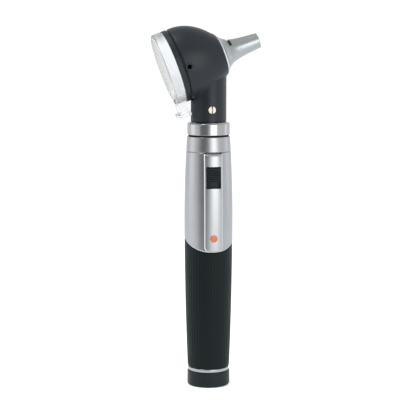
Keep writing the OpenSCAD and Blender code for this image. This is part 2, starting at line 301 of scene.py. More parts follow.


# %% [markdown]
# The floor is a wide sheet of pale paper, lit a little from below so that it meets the
# tent without a line. Beyond the object's foot a painted shade darkens its colour and its
# glow towards the opening, because upright metal seen from slightly above mirrors the floor
# more than the walls.

# %% Floor
def floor_finish(glow):
    """Pale matt paper, lit from below, with painted shade on the way to the opening."""
    material = bpy.data.materials.new("pale_floor")
    material.use_nodes = True
    tree = material.node_tree
    shader = tree.nodes["Principled BSDF"]
    shader.inputs["Roughness"].default_value = 0.85
    shader.inputs["Specular IOR Level"].default_value = 0.1
    shader.inputs["Emission Strength"].default_value = 1.0
    place = Wire(tree).make("ShaderNodeTexCoord", None, None, out="Object")
    grain = place.make("ShaderNodeTexNoise", None, {"Vector": place, "Scale": 40.0})
    nearer = place.dot(dark_way)
    beside = place.dot((-dark_way.y, dark_way.x, 0))
    spread = abs(beside) / nearer.at_least(0.01)
    # Painted shade: a dark wedge towards the opening, in the floor's colour and its glow.
    shade = nearer.smooth(0.08, 0.28) * (1 - spread.smooth(0.25, 0.62))
    paper = grain.blend(pale(0.76), pale(0.78))
    colour = shade.blend(paper, pale(0.36))
    tree.links.new(colour.socket, shader.inputs["Base Color"])
    light = shade.blend(pale(glow), pale(0.0))
    tree.links.new(light.socket, shader.inputs["Emission Color"])
    return material


floor_mesh = bpy.data.meshes.new("floor")
reach = 60.0
corners = [(-reach, -reach, 0), (reach, -reach, 0), (reach, reach, 0), (-reach, reach, 0)]
floor_mesh.from_pydata(corners, [], [(0, 1, 2, 3)])
floor = placed("floor", floor_mesh)
floor.data.materials.append(floor_finish(0.47))
print("floor reaches", reach, "m each way")

# %% [markdown]
# ## Finishes
#
# Each finish is one Principled shader. What is the same everywhere, such as the index of
# refraction, is set on the shader. What varies, such as grain, tint and polish, comes
# from noise in the object's own space, at the size the real surface has it.


# %% How a finish is put together
def finish(name, colour, roughness, metallic=0.0, **constant):
    """A material with its shader ready, and a wire to start its sums from."""
    material = bpy.data.materials.new(name)
    material.use_nodes = True
    tree = material.node_tree
    shader = tree.nodes["Principled BSDF"]
    shader.inputs["Base Color"].default_value = (*colour, 1)
    shader.inputs["Roughness"].default_value = roughness
    shader.inputs["Metallic"].default_value = metallic
    for key, value in constant.items():
        shader.inputs[key.replace("_", " ")].default_value = value
    return material, shader, Wire(tree)


def noise(wire, size, detail=3.0, stretch=(1, 1, 1)):
    """Noise with features of about that size in mm, stretched along the axes."""
    place = wire.make("ShaderNodeTexCoord", None, None, out="Object")
    scale = tuple(1 / (size * mm * s) for s in stretch)
    sockets = {"Vector": place, "Scale": scale}
    spread = wire.make("ShaderNodeMapping", None, sockets)
    sockets = {"Vector": spread, "Scale": 1.0, "Detail": detail}
    return wire.make("ShaderNodeTexNoise", None, sockets)


def feed(shader, **wires):
    for key, wire in wires.items():
        socket = shader.inputs[key.replace("_", " ")]
        wire.tree.links.new(wire.socket, socket)


def bump(height, depth, strength=1.0):
    """A Normal wire from a height that runs from 0 to 1 and is that many mm deep."""
    sockets = {"Height": height, "Strength": strength, "Distance": depth * mm}
    return height.make("ShaderNodeBump", None, sockets)


def tint(colour, factor):
    return (*(min(1.0, c * factor) for c in colour), 1)


print("a grey of 0.5, a tenth lighter:", tint((0.5, 0.5, 0.5), 1.1))

# %% [markdown]
# ### Black plastics
#
# Moulded black plastic is never quite black: the tool leaves a fine spark-eroded grain
# that spreads highlights, and handling polishes it in patches. One function serves the
# head, the grip and the cap, with its own grain and polish for each.

# %% Black plastics
def black_plastic(name, colour, roughness, grain, depth, shine=0.15):
    material, shader, start = finish(name, colour, roughness)
    shader.inputs["Specular IOR Level"].default_value = shine
    fine = noise(start, grain, 2.0)
    cloud = noise(start, 9.0, 3.0)
    feed(shader, Base_Color=cloud.blend(tint(colour, 0.8), tint(colour, 1.25)))
    feed(shader, Roughness=cloud.smooth(0.3, 0.7) * 0.1 + fine * 0.06 + (roughness - 0.08))
    feed(shader, Normal=bump(fine, depth, 0.6))
    return material


head_black = black_plastic("head_black", (0.015, 0.019, 0.024), 0.38, 0.16, 0.012, 0.23)
grip_black = black_plastic("grip_black", (0.006, 0.010, 0.011), 0.45, 0.22, 0.015, 0.1)
cap_black = black_plastic("cap_black", (0.010, 0.015, 0.017), 0.4, 0.2, 0.012)
inner_black = black_plastic("inner_black", (0.008, 0.008, 0.009), 0.7, 0.3, 0.02)
rubber_black = black_plastic("rubber_black", (0.012, 0.012, 0.012), 0.75, 0.35, 0.03)
print("black plastics ready")


# %% [markdown]
# ### Metals
#
# The shell is turned aluminium, blasted and anodised: a soft satin with a very fine grain.
# The collar and the ring are polished on a lathe, so their marks run round them. The cone
# is blasted steel with a cooler tint. One function serves them all: a grain that can be
# stretched along the turning marks, and a cloud of slightly uneven shade.

# %% A metal with a grain
# The light grey that is painted into edges as a highlight.
painted_highlight_grey = (0.62, 0.64, 0.66, 1)


def metal(name, colour, roughness, grain, stretch=(1, 1, 1), depth=0.002, uneven=0.06,
          highlight_mask=None):
    """Metal with a grain. The last argument takes a wire, and gives 1 where a highlight is
    painted.
    """
    material, shader, start = finish(name, colour, roughness, 1.0)
    fine = noise(start, grain, 2.0, stretch)
    cloud = noise(start, 6.0, 3.0)
    shade = cloud.blend(tint(colour, 0.94), tint(colour, 1.05))
    if highlight_mask:
        shade = highlight_mask(start).blend(shade, painted_highlight_grey)
    feed(shader, Base_Color=shade)
    varied = (fine - 0.5) * uneven + (cloud - 0.5) * uneven + roughness
    feed(shader, Roughness=varied)
    feed(shader, Normal=bump(fine, depth, 0.5))
    return material


# The grey of the painted edge highlights.
print("bare metal is", painted_highlight_grey[:3])

# %% [markdown]
# Along some edges a highlight is painted into the metal's colour: a light grey line that
# stands in for the light that the edge catches. It could be a strip of mesh, but it is drawn
# in the material, measured from the piece's own outline, so that it stays crisp at any distance.


# %% Painted edge highlights
def coordinate(wire, axis):
    """One of the object's own coordinates, in mm."""
    place = wire.make("ShaderNodeTexCoord", None, None, out="Object")
    return wire.make("ShaderNodeSeparateXYZ", None, {0: place}, out=axis) * (1 / mm)


def shell_edge_highlight(wire):
    """Where a highlight is painted: the slanted lower edge of the shell."""
    over_cut = coordinate(wire, 2) - coordinate(wire, 1) * cut_slope - cut_z
    return 1 - over_cut.smooth(0.35, 0.6)


def clip_edge_highlight(wire):
    """Where a highlight is painted: the outline of the clip, as far as its rounded lower corners.
    """
    x = coordinate(wire, 0)
    beyond = (abs(x) - (clip_half - corner)).at_least(0.0)
    below = (clip_low + corner - coordinate(wire, 2)).at_least(0.0)
    reach = (beyond * beyond + below * below) ** 0.5
    return (reach - corner).smooth(-0.42, -0.26)


def cone_edge_highlight(wire):
    """Where a highlight is painted: the bevel at the base of the cone."""
    x, z = coordinate(wire, 0), coordinate(wire, 2)
    s = (x - sight_zero[0]) * along[0] + (z - sight_zero[2]) * along[2]
    return 1 - s.smooth(22.5, 22.75)


print("edges drawn for the shell, the clip and the cone")

# %% [markdown]
# Each metal of the otoscope is now one line: its colour, its roughness, the size of its
# grain in mm, and how the grain is stretched.

# %% Metals
satin, blasted = (0.35, 0.36, 0.372), (0.34, 0.365, 0.37)
upright = (1, 1, 5)
satin_metal = metal("satin_metal", satin, 0.34, 0.12, upright, 0.003)
# The shell, the clip and the cone carry painted highlights along their edges.
shell_metal = metal("shell_metal", satin, 0.34, 0.12, upright, 0.003, highlight_mask=shell_edge_highlight)
clip_metal = metal("clip_metal", satin, 0.32, 0.12, upright, 0.003, highlight_mask=clip_edge_highlight)
chrome = metal("chrome", (0.36, 0.37, 0.38), 0.2, 0.1, (8, 8, 1), 0.0015, 0.04)
nickel = metal("nickel", (0.36, 0.32, 0.26), 0.3, 0.15)
cone_steel = metal("cone_steel", blasted, 0.34, 0.1)
steel_painted_bevel_highlight = metal("steel_painted_bevel_highlight", blasted, 0.34, 0.1, highlight_mask=cone_edge_highlight)
tube_metal = metal("tube_metal", (0.55, 0.56, 0.57), 0.4, 0.2, (1, 1, 6), 0.004)
gold_plate = metal("gold_plate", (0.83, 0.62, 0.24), 0.22, 0.15)
print("metals ready")


# %% [markdown]
# ### Clear acrylic and glass
#
# The window is thick clear acrylic. Its two broad faces are polished, but its edge is
# left as it was sawn and tumbled, which makes it milky. The edge is told from the faces
# by how far the surface turns away from the line of sight.

# %% Clear materials
def turned_to_sight(wire):
    """1 where the surface faces along the line of sight, and 0 where it is side on."""
    facing = wire.make("ShaderNodeTexCoord", None, None, out="Normal")
    return abs(facing.dot(along))


def clear(name, colour, roughness, index, edge_roughness):
    material, shader, start = finish(name, colour, roughness, 0.0, IOR=index)
    shader.inputs["Transmission Weight"].default_value = 1.0
    smear = noise(start, 5.0, 4.0)
    side_on = 1 - turned_to_sight(start).smooth(0.45, 0.8)
    polish = smear.smooth(0.35, 0.75) * 0.05 + roughness
    feed(shader, Roughness=side_on * edge_roughness + polish)
    feed(shader, Base_Color=side_on.blend((*colour, 1), tint(colour, 0.93)))
    return material


acrylic = clear("acrylic", (0.84, 0.87, 0.89), 0.03, 1.49, 0.3)
lamp_lens = clear("lamp_lens", (0.96, 0.98, 1.0), 0.01, 1.5, 0.0)
print("clear materials ready")


# %% [markdown]
# ### Small finishes
#
# Enamel for the dot on the clip, glass fibre ends for the light ring, the cream insulator
# and the plain sleeve of the cells.

# %% Enamel, fibre, cream plastic and cell sleeve
def enamel_finish():
    colour = (0.50, 0.10, 0.02)
    material, shader, start = finish("enamel", colour, 0.3, 0.0, Coat_Weight=0.6)
    cloud = noise(start, 1.2, 3.0)
    feed(shader, Base_Color=cloud.blend(tint(colour, 0.85), tint(colour, 1.2)))
    return material


def fibre_finish():
    colour = (0.78, 0.82, 0.74)
    material, shader, start = finish("fibre", colour, 0.3)
    place = start.make("ShaderNodeTexCoord", None, None, out="Object")
    sockets = {"Vector": place, "Scale": 1 / (0.12 * mm)}
    dots = start.make("ShaderNodeTexVoronoi", None, sockets)
    ends = turned_to_sight(start).smooth(0.7, 0.9)
    bright = (1 - dots.smooth(0.25, 0.6)) * ends
    feed(shader, Base_Color=bright.blend((0.01, 0.01, 0.01, 1), (*colour, 1)))
    feed(shader, Roughness=0.75 - ends * 0.4)
    return material


def cream_finish():
    colour = (0.66, 0.62, 0.52)
    material, shader, start = finish("cream_plastic", colour, 0.5)
    cloud = noise(start, 3.0)
    feed(shader, Base_Color=cloud.blend(tint(colour, 0.9), tint(colour, 1.08)))
    feed(shader, Roughness=cloud * 0.2 + 0.4)
    return material


def sleeve_finish():
    colour = (0.42, 0.26, 0.08)
    material, shader, start = finish("cell_sleeve", colour, 0.35, 0.3)
    bands = coordinate(start, 2) / 12
    band = bands.math("PINGPONG", bands, 1.0).smooth(0.45, 0.55)
    feed(shader, Base_Color=band.blend((0.02, 0.02, 0.02, 1), (*colour, 1)))
    return material


enamel = enamel_finish()
fibre = fibre_finish()
cream = cream_finish()
sleeve = sleeve_finish()
print("materials made:", len(bpy.data.materials))

# %% [markdown]
# ## Tools for making pieces
#
# A piece is a grid of points that is closed into a skin. It is cleaned, given its finish,
# and told which body of the mechanical model it rides on and which pieces it stands for.


# %% Turn arrays of points into a piece
def clean_mesh(name, points, faces, merge):
    """A mesh from points in mm, with doubled points merged and its faces turned outwards."""
    mesh = bpy.data.meshes.new(name)
    mesh.from_pydata((np.asarray(points) * mm).tolist(), [], faces)
    work = bmesh.new()
    work.from_mesh(mesh)
    bmesh.ops.remove_doubles(work, verts=work.verts, dist=merge * mm)
    bmesh.ops.recalc_face_normals(work, faces=work.faces)
    work.to_mesh(mesh)
    work.free()
    return mesh


def dress(piece, material, body, stands_for=(), slot=None):
    piece.data.materials.clear()
    piece.data.materials.append(material)
    for polygon in piece.data.polygons:
        polygon.use_smooth = True
    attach(piece, body)
    if stands_for:
        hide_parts(*stands_for)
    print(piece.name, "has", len(piece.data.polygons), "faces and rides on", body)


def add_piece(name, points, faces, *how):
    """A mesh piece from points in mm; how is its material, body, CAD pieces and slot (not used).
    """
    piece = placed(name, clean_mesh(name, points, faces, 0.0005))
    dress(piece, *how)
    return piece


print("piece tools ready")

# %% [markdown]
# The faces between the points of a grid always follow the same pattern, open or closed
# into a ring. A small box and a ring with two lids are the other two patterns.


# %% Faces of grids, rings and boxes
def all_round(count):
    """That many angles, evenly spread over a full turn."""
    return np.linspace(0, 2 * math.pi, count, endpoint=False)


def quads(rows, columns, closed_rows=False, closed_columns=False):
    """Faces of a grid of points that is listed row by row."""
    faces = []
    for i in range(rows if closed_rows else rows - 1):
        for j in range(columns if closed_columns else columns - 1):
            below = i * columns
            above = (i + 1) % rows * columns
            right = (j + 1) % columns
            faces.append((below + j, below + right, above + right, above + j))
    return faces


def lidded(rows, columns):
    """Faces of a grid that is closed round, with a lid on its first and on its last row."""
    lids = [tuple(range(columns)), tuple(range((rows - 1) * columns, rows * columns))]
    return quads(rows, columns, closed_columns=True) + lids


def box_shell(low, high):
    """The eight points and six faces of a box between two corners."""
    points = [(x, y, z) for x in (low[0], high[0]) for y in (low[1], high[1])
              for z in (low[2], high[2])]
    faces = [(0, 1, 3, 2), (4, 5, 7, 6), (0, 1, 5, 4), (2, 3, 7, 6), (0, 2, 6, 4), (1, 3, 7, 5)]
    return np.array(points), faces


print("a closed ring of 4 by 8 points has", len(quads(4, 8, True, True)), "faces")

# %% [markdown]
# Real edges are never sharp, and it is the rounding that catches the light. So the corners
# of a profile are rounded before it is swept. A wider rolled edge, such as the mouth of a
# sleeve, follows a quarter of a circle or of an oval.


# %% Rounded corners and rolled edges
def rounded(corners, radius=None, steps=3):
    """A closed profile with its corners rounded. Without a radius, each corner ends in its own."""
    corners = np.array(corners, float)
    radii = np.full(len(corners), radius) if radius else corners[:, -1]
    spots = corners if radius else corners[:, :-1]
    made = []
    for i, here in enumerate(spots):
        back = spots[i - 1] - here
        ahead = spots[(i + 1) % len(spots)] - here
        if radii[i] == 0:
            made.append(here)
            continue
        start = here + back * min(radii[i] / np.linalg.norm(back), 0.45)
        end = here + ahead * min(radii[i] / np.linalg.norm(ahead), 0.45)
        for k in range(steps + 1):
            f = k / steps
            made.append((1 - f) ** 2 * start + 2 * f * (1 - f) * here + f * f * end)
    return made


def rolled(share):
    """How far a rolled edge is drawn in: 1 where share is 0, at the edge, and 0 at share 1."""
    return 1 - np.sqrt(1 - (1 - share) ** 2)


print("halfway through, a rolled edge is drawn in by", round(rolled(0.5), 3))

# %% [markdown]
# Most of the otoscope is turned on a lathe, so most pieces are a profile swept round an
# axis: the handle's, or the line of sight. Some outlines change with the angle, such as a
# sleeve that is cut on the slant. Those give radius and height as two tables instead, with
# one column for each angle.


# %% Lathe tools
def round_handle(radius, height, angles):
    """Points at that radius and height round the axis of the handle."""
    flat = (radius * np.cos(angles), radius * np.sin(angles), height)
    return np.stack(np.broadcast_arrays(*flat), axis=-1)


def round_sight(radius, distance, angles):
    """Points at that radius and distance round the line of sight."""
    return from_sight(distance, radius * np.cos(angles), radius * np.sin(angles))


def weigh_normals(piece):
    """Keeps broad faces flat in the shading, so that only the rounded edges bend light."""
    modifier = piece.modifiers.new("broad_faces", "WEIGHTED_NORMAL")
    modifier.keep_sharp = True
    return piece


def swept(name, radius, height, angles, *how, place=round_handle):
    """Closes the sweep of two tables, radius and height, into a piece."""
    points = place(radius, height, angles)
    faces = quads(*points.shape[:2], closed_rows=True, closed_columns=True)
    return weigh_normals(add_piece(name, points.reshape(-1, 3), faces, *how))


def turned(name, profile, *how, place=round_handle, segments=128):
    """Sweeps one closed profile of (radius, height) corners all the way round."""
    profile = np.asarray(profile)
    return swept(name, profile[:, :1], profile[:, 1:], all_round(segments), *how, place=place)


print("lathe tools ready")

# %% [markdown]
# Plates and covers are drawn as one skin, thickened inwards, and then bevelled like sheet
# metal. The skin has to know which side is out, so its faces are turned away from the axis
# inside it first.


# %% Skins and broken edges
def break_edges(piece, width, steps=3):
    """Bevels the sharp edges of a piece."""
    bevel = piece.modifiers.new("edges", "BEVEL")
    bevel.width = width * mm
    bevel.segments = steps
    bevel.limit_method = "ANGLE"
    bevel.angle_limit = math.radians(45)
    return weigh_normals(piece)


def thicken(piece, thickness, edge, edge_steps=3):
    """Gives a skin its thickness inwards, and breaks its edges."""
    solid = piece.modifiers.new("thickness", "SOLIDIFY")
    solid.thickness = thickness * mm
    solid.offset = -1
    break_edges(piece, edge, edge_steps)


def face_away(piece, centre):
    """Turns every face of a skin away from a point or axis inside it."""
    work = bmesh.new()
    work.from_mesh(piece.data)
    for face in work.faces:
        middle = face.calc_center_median() / mm
        if face.normal.dot(middle - centre(middle)) < 0:
            face.normal_flip()
    work.to_mesh(piece.data)
    work.free()


def on_handle_axis(point):
    return Vector((0, 0, point.z))


print("skin tools ready")

# %% [markdown]
# ## End cap
#
# The cap closes the battery tube. It is moulded, with a rounded rim for the fingers and a
# threaded boss that disappears into the ring above. Turning it away from the handle in the
# finished model shows the boss, so the boss is made too.

# %% End cap
cap_r = half_width("end_cap")
cap_top = bottom("end_ring") - 0.1
boss_top = top("end_cap")
boss_r = 8.4
cap_corners = [
    (0, 0, 0), (6.4, 0, 0.3), (6.7, 0.25, 0.3), (7.4, 0.25, 0.3), (7.7, 0, 0.3),
    (cap_r, 0, 1.1), (cap_r, cap_top, 0.6), (boss_r, cap_top, 0.1),
    (boss_r, boss_top, 0.4), (7.4, boss_top, 0.2), (7.4, 1.8, 0.3), (0, 1.8, 0),
]
turned("cap_body", rounded(cap_corners), cap_black, "cap", ["end_cap"], "black_cap")

# %% [markdown]
# ## End ring
#
# A polished ring protects the mouth of the grip, where the cap is screwed in and out. Only
# its narrow band shows. Its long ferrule is pressed inside the grip.

# %% End ring
ring_r = half_width("end_ring")
ring_low = bottom("end_ring")
grip_foot = bottom("grip_sleeve")
ring_corners = [
    (8.9, ring_low, 0.1), (ring_r, ring_low, 0.4), (ring_r, grip_foot, 0.3),
    (9.03, grip_foot, 0.1), (9.03, top("end_ring"), 0.2), (8.25, top("end_ring"), 0.1),
    (8.25, 14, 0.05), (8.45, 14, 0.05), (8.45, 8.3, 0.05), (8.9, 8.3, 0.05),
]
turned("end_ring_polished", rounded(ring_corners), chrome, "handle", ["end_ring"], "chrome")

# %% [markdown]
# ## The outline of the handle
#
# The handle swells a little in the middle, so that it sits in the hand. One curve gives
# the radius at any height, and the grip, the shell, the clip and the ring all follow it.

# %% Outline of the handle
belly_r = half_width("handle_shell")
belly_z = 76.0
end_drop = 1.33
collar_z = bottom("locking_collar") + 3.9


def barrel(z):
    z = np.asarray(z, float)
    below = (belly_z - z) / (belly_z - 10)
    above = (z - belly_z) / (collar_z - belly_z)
    return belly_r - end_drop * np.where(z < belly_z, below, above) ** 2


def slanted_cut(angles):
    """Height of the slanted joint between grip and shell, all the way round."""
    z = cut_z + 0 * angles
    for _ in range(6):
        z = cut_z + cut_slope * barrel(z) * np.sin(angles)
    return z


print("handle radius at the belly", round(belly_r, 2), "and at the collar", barrel(collar_z))

# %% [markdown]
# ## Grip
#
# The grip is a moulded sleeve with fine upright flutes. The flutes are shallow, so they
# are part of the swept outline itself: a cosine wave round the sleeve that fades out at
# both ends, where the mould has plain bands. The top end follows the slanted joint.

# %% Grip
flutes = 43
flute_depth = 0.11
steps_per_flute = 10
grip_angles = all_round(flutes * steps_per_flute)
grip_cut = slanted_cut(grip_angles) - 0.08
share = np.concatenate([[0, 0.004, 0.009, 0.016, 0.03], np.linspace(0.05, 0.95, 40),
                        [0.975, 0.988, 0.994, 0.998, 1]])[:, None]
grip_z = grip_foot + share * (grip_cut - grip_foot)
from_end = np.minimum(grip_z - grip_foot, 0.9) / 0.9
from_cut = np.minimum(grip_cut - grip_z, 0.3) / 0.3
fade = np.clip((grip_z - grip_foot - 1.2) / 1.5, 0, 1)
fade = fade * np.clip((grip_cut - grip_z - 0.5) / 0.8, 0, 1)
wave = 0.5 - 0.5 * np.cos(flutes * grip_angles)
outer = barrel(grip_z) - 0.12 - flute_depth * fade * wave ** 1.5
outer = outer - 0.9 * rolled(from_end) - 0.3 * rolled(from_cut)
spigot_top, spigot_wall = 86, 1.3
tube_hole, ferrule_hole = 8.25, 9.08
inside = [
    (barrel(grip_cut) - spigot_wall, grip_cut), (barrel(spigot_top) - spigot_wall, spigot_top),
    (tube_hole, spigot_top), (tube_hole, 18.7), (ferrule_hole, 18.6), (ferrule_hole, grip_foot),
]
grip_r = np.vstack([outer] + [r + 0 * grip_angles for r, _ in inside])
grip_h = np.vstack([grip_z] + [z + 0 * grip_angles for _, z in inside])
swept("grip_fluted", grip_r, grip_h, grip_angles, grip_black, "handle",
      ["grip_sleeve"], "black_grip")
print("flutes:", flutes, "at a pitch of", round(2 * math.pi * belly_r / flutes, 2), "mm")

# %% [markdown]
# ## Shell
#
# The shell is thin-walled tube, cut on the slant at its lower end with the edge rounded,
# and a highlight is painted along that edge. Its skin is drawn as a grid whose lines run
# along the edges of the two openings under the clip, so that the openings are made by
# leaving faces out.


# %% Shell
shell_top = top("handle_shell")
bezel_gap = (3.42, 92.55, 103.05)
lug_gap = (2.15, 104.25, shell_top)
notch = (4.3, 108.3, shell_top)
shell_gaps = (bezel_gap, lug_gap, notch)
clip_side_r = 10.6


def columns_through(marks, count):
    """Angles round the handle, evenly spread, with extra ones at the marked x places."""
    marked = [1.5 * math.pi + side * math.asin(x / clip_side_r) for x in marks
              for side in (-1, 1)]
    return np.unique(np.round(np.concatenate([all_round(count), marked]), 5))


def in_a_gap(x, y, z):
    return y < 0 and any(abs(x) < half and low < z < high for half, low, high in shell_gaps)


def shell_skin():
    angles = columns_through([half for half, _, _ in shell_gaps], 144)
    edge = slanted_cut(angles)
    roll, straight_from = 0.6, 91
    rows = [edge + d for d in (0, 0.06, 0.15, 0.28, 0.42, roll)]
    rows += [edge + roll + f * (straight_from - edge - roll) for f in np.linspace(0.05, 1, 16)]
    gap_ends = {z for _, low, high in shell_gaps for z in (low, high)}
    rows += [0 * edge + z for z in sorted(gap_ends | {96, 99.5, 106.5, 108.6})]
    height = np.array(rows)
    radius = barrel(height) - 0.55 * rolled(np.clip((height - edge) / roll, 0, 1))
    radius = radius - 0.2 * rolled(np.clip((shell_top - height) / 0.5, 0, 1))
    points = round_handle(radius, height, angles).reshape(-1, 3)
    faces = quads(*height.shape, closed_columns=True)
    return points, [f for f in faces if not in_a_gap(*points[list(f)].mean(axis=0))]


shell_points, shell_faces = shell_skin()
shell = add_piece("shell_tube", shell_points, shell_faces, shell_metal, "handle",
                  ["handle_shell"], "satin_metal")
face_away(shell, on_handle_axis)
thicken(shell, 1.15, 0.1, 2)

# %% [markdown]
# ## Rings at the top of the handle
#
# Above the shell come a plain ring, a black seal in a narrow groove, and the polished
# collar that locks the head. The thin shadow lines between them are real gaps.

# %% Top ring, seal and collar
seam = bottom("shell_top_ring")
ring_top = top("shell_top_ring")
ring_heights = np.linspace(seam, ring_top, 6)
ring_corners = [(float(barrel(z)), z, 0.25) for z in ring_heights]
ring_corners += [(8.75, ring_top, 0.1), (8.75, seam, 0.1)]
turned("top_ring", rounded(ring_corners), satin_metal, "handle", ["shell_top_ring"],
       "satin_metal")

seal_low, seal_high = bottom("collar_seal"), top("collar_seal")
seal_r = half_width("collar_seal")
seal_corners = [(8.7, seal_low), (seal_r, seal_low), (seal_r, seal_high), (8.7, seal_high)]
turned("groove_seal", rounded(seal_corners, 0.2), rubber_black, "handle", ["collar_seal"],
       "rubber")

collar_r = half_width("locking_collar")
collar_top = top("locking_collar")
collar_foot = bottom("locking_collar")
collar_corners = [
    (6.57, collar_foot, 0.1), (8.6, collar_foot, 0.2), (8.6, collar_z, 0.05),
    (collar_r, collar_z, 0.25), (collar_r, collar_top - 0.75, 0.2),
    (collar_r - 0.7, collar_top, 0.15), (6.57, collar_top, 0.3),
]
turned("collar", rounded(collar_corners), chrome, "handle", ["locking_collar"], "chrome",
       segments=192)

# %% [markdown]
# ## Pocket clip
#
# The clip and the plate of the switch are curved plates with straight sides and one
# rectangular opening. A thickened skin would slant their sides. So two skins are drawn at
# the same x and z, one further out, and walls are built between their open edges.


# %% Curved plates with straight sides
def front_point(x, z, r):
    """A point on the clip's side of the handle, at that radius."""
    x, z, r = np.broadcast_arrays(np.asarray(x, float), z, r)
    return np.stack([x, -np.sqrt(r * r - x * x), z], axis=-1)


def walled(faces, count):
    """Closes a skin and a second one, count points further on, with walls between them."""
    open_edges = set()
    for face in faces:
        for edge in zip(face, face[1:] + face[:1]):
            if edge[::-1] in open_edges:
                open_edges.remove(edge[::-1])
            else:
                open_edges.add(edge)
    walls = [(b, a, a + count, b + count) for a, b in sorted(open_edges)]
    return faces + [tuple(i + count for i in face[::-1]) for face in faces] + walls


def panel(name, half_at, across, rows, outer, inner, gap, edge, *how):
    """A curved plate on the clip's side, with straight sides and a rectangular gap."""
    rows = np.asarray(rows, float)[:, None]
    x = half_at(rows) * np.asarray(across)[None, :]
    z = rows + 0 * x
    skins = [front_point(x, z, barrel(z) + lift(x, z)).reshape(-1, 3) for lift in (outer, inner)]
    kept = []
    gap_x, gap_low, gap_high = gap
    for face in quads(*x.shape):
        centre = skins[0][list(face)].mean(axis=0)
        if abs(centre[0]) > gap_x or not gap_low < centre[2] < gap_high:
            kept.append(face)
    break_edges(add_piece(name, np.concatenate(skins), walled(kept, x.size), *how), edge)


print("a plate of one face closes into", len(walled([(0, 1, 2, 3)], 4)), "faces")

# %% [markdown]
# The clip itself is a strip of the same satin metal as the shell. Its outer skin rolls down
# to its edges, and a gap of a third of a millimetre is left under it. The straight sides
# and the gap give it its dark outline.

# %% Clip
clip_gap = 0.3
clip_thick = 1.1
edge_roll = 0.75
window_low, window_high, window_half = 92.7, 102.6, 3.4


def clip_half_width(z):
    down = np.clip(corner - (z - clip_low), 0, corner * 0.999)
    return clip_half - corner + np.sqrt(corner ** 2 - down ** 2)


def clip_outer(x, z):
    """Height of the clip over the shell: level, and rolled down to its edges."""
    beyond = np.maximum(abs(x) - (clip_half - corner), 0)
    below = np.maximum(clip_low + corner - z, 0)
    inside = np.minimum(corner - np.hypot(beyond, below), clip_top - z)
    near = 1 - np.clip(inside / edge_roll, 0, 1)
    slope = np.clip((z - clip_top + 1.3) / 1.3, 0, 1)
    drop = edge_roll * (1 - np.sqrt(1 - 0.8 * near ** 2))
    return clip_gap + clip_thick - 0.35 * slope - drop


corner_rows = clip_low + corner * (1 - np.cos(np.linspace(0.12, math.pi / 2, 16)))
clip_rows = np.concatenate([corner_rows, np.linspace(67, 92, 26), [window_low],
                            np.linspace(94, 102, 6), [window_high], [104, 105.5, 106.6],
                            clip_top - np.array([1.3, 1, 0.75, 0.55, 0.4, 0.25, 0.1, 0])])
share = window_half / clip_half
clip_side = np.array([0.83, 0.86, 0.89, 0.92, 0.945, 0.97, 0.985, 1])
clip_across = np.concatenate([-clip_side[::-1], np.linspace(-share, share, 15), clip_side])
# The clip's material paints a highlight along its outline.
panel("clip_strip", clip_half_width, clip_across, clip_rows, clip_outer,
      lambda x, z: clip_gap + 0 * x, (window_half, window_low, window_high), 0.1,
      clip_metal, "clip", ["pocket_clip"], "satin_metal")

# %% [markdown]
# Under its top end the clip has a lug, which goes through the shell to the hinge pin. It
# shows when the clip is pressed open.


# %% Hinge lug
def clip_lug():
    """The block under the clip's top end, with the hole that the hinge pin runs in."""
    pin_y, pin_z, hole = -9.6, 106.3, 0.65
    turns = all_round(32)
    direction = np.stack([np.cos(turns), np.sin(turns)], axis=-1)
    room = np.where(direction[:, 0] < 0, 11.4 + pin_y, -8.75 - pin_y)
    rise = np.where(direction[:, 1] < 0, pin_z - 104.95, 107.65 - pin_z)
    reach = np.minimum(room / np.maximum(abs(direction[:, 0]), 1e-6),
                       rise / np.maximum(abs(direction[:, 1]), 1e-6))
    loops = []
    for x, size in ((-1.75, hole), (-1.75, reach), (1.75, reach), (1.75, hole)):
        spot = direction * np.broadcast_to(np.asarray(size)[..., None], direction.shape)
        loops.append(np.column_stack([x + 0 * turns, pin_y + spot[:, 0], pin_z + spot[:, 1]]))
    faces = quads(4, len(turns), closed_rows=True, closed_columns=True)
    return np.concatenate(loops), faces


add_piece("clip_hinge_lug", *clip_lug(), satin_metal, "clip", (), "satin_metal")

# %% [markdown]
# The dot is a drop of enamel that was baked on the clip, so it is domed, and its edge is
# round. Seven rings of points follow the clip's own curve.

# %% Enamel dot
dot_r = (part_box("marker_dot")[1].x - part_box("marker_dot")[0].x) / 2 / mm
dot_z = (bottom("marker_dot") + top("marker_dot")) / 2
dot_turns = all_round(64)
ring = np.array([0, 0.3, 0.6, 0.85, 0.95, 1.0, 1.0])[:, None]
rise = np.array([0.1, 0.098, 0.09, 0.07, 0.04, 0.0, -0.15])[:, None]
dot_x = dot_r * ring * np.cos(dot_turns)
dot_height = dot_z + dot_r * ring * np.sin(dot_turns)
dot_lift = barrel(dot_height) + clip_gap + clip_thick + rise
dot_points = front_point(dot_x, dot_height, dot_lift).reshape(-1, 3)
add_piece("enamel_dot", dot_points, quads(*dot_x.shape, closed_columns=True), enamel, "clip",
          ["marker_dot"], "enamel")

# %% [markdown]
# ## Switch
#
# A black plate fills the clip's window and carries the slot that the thumb switch slides
# in. It is a curved plate like the clip, set almost level with the shell.

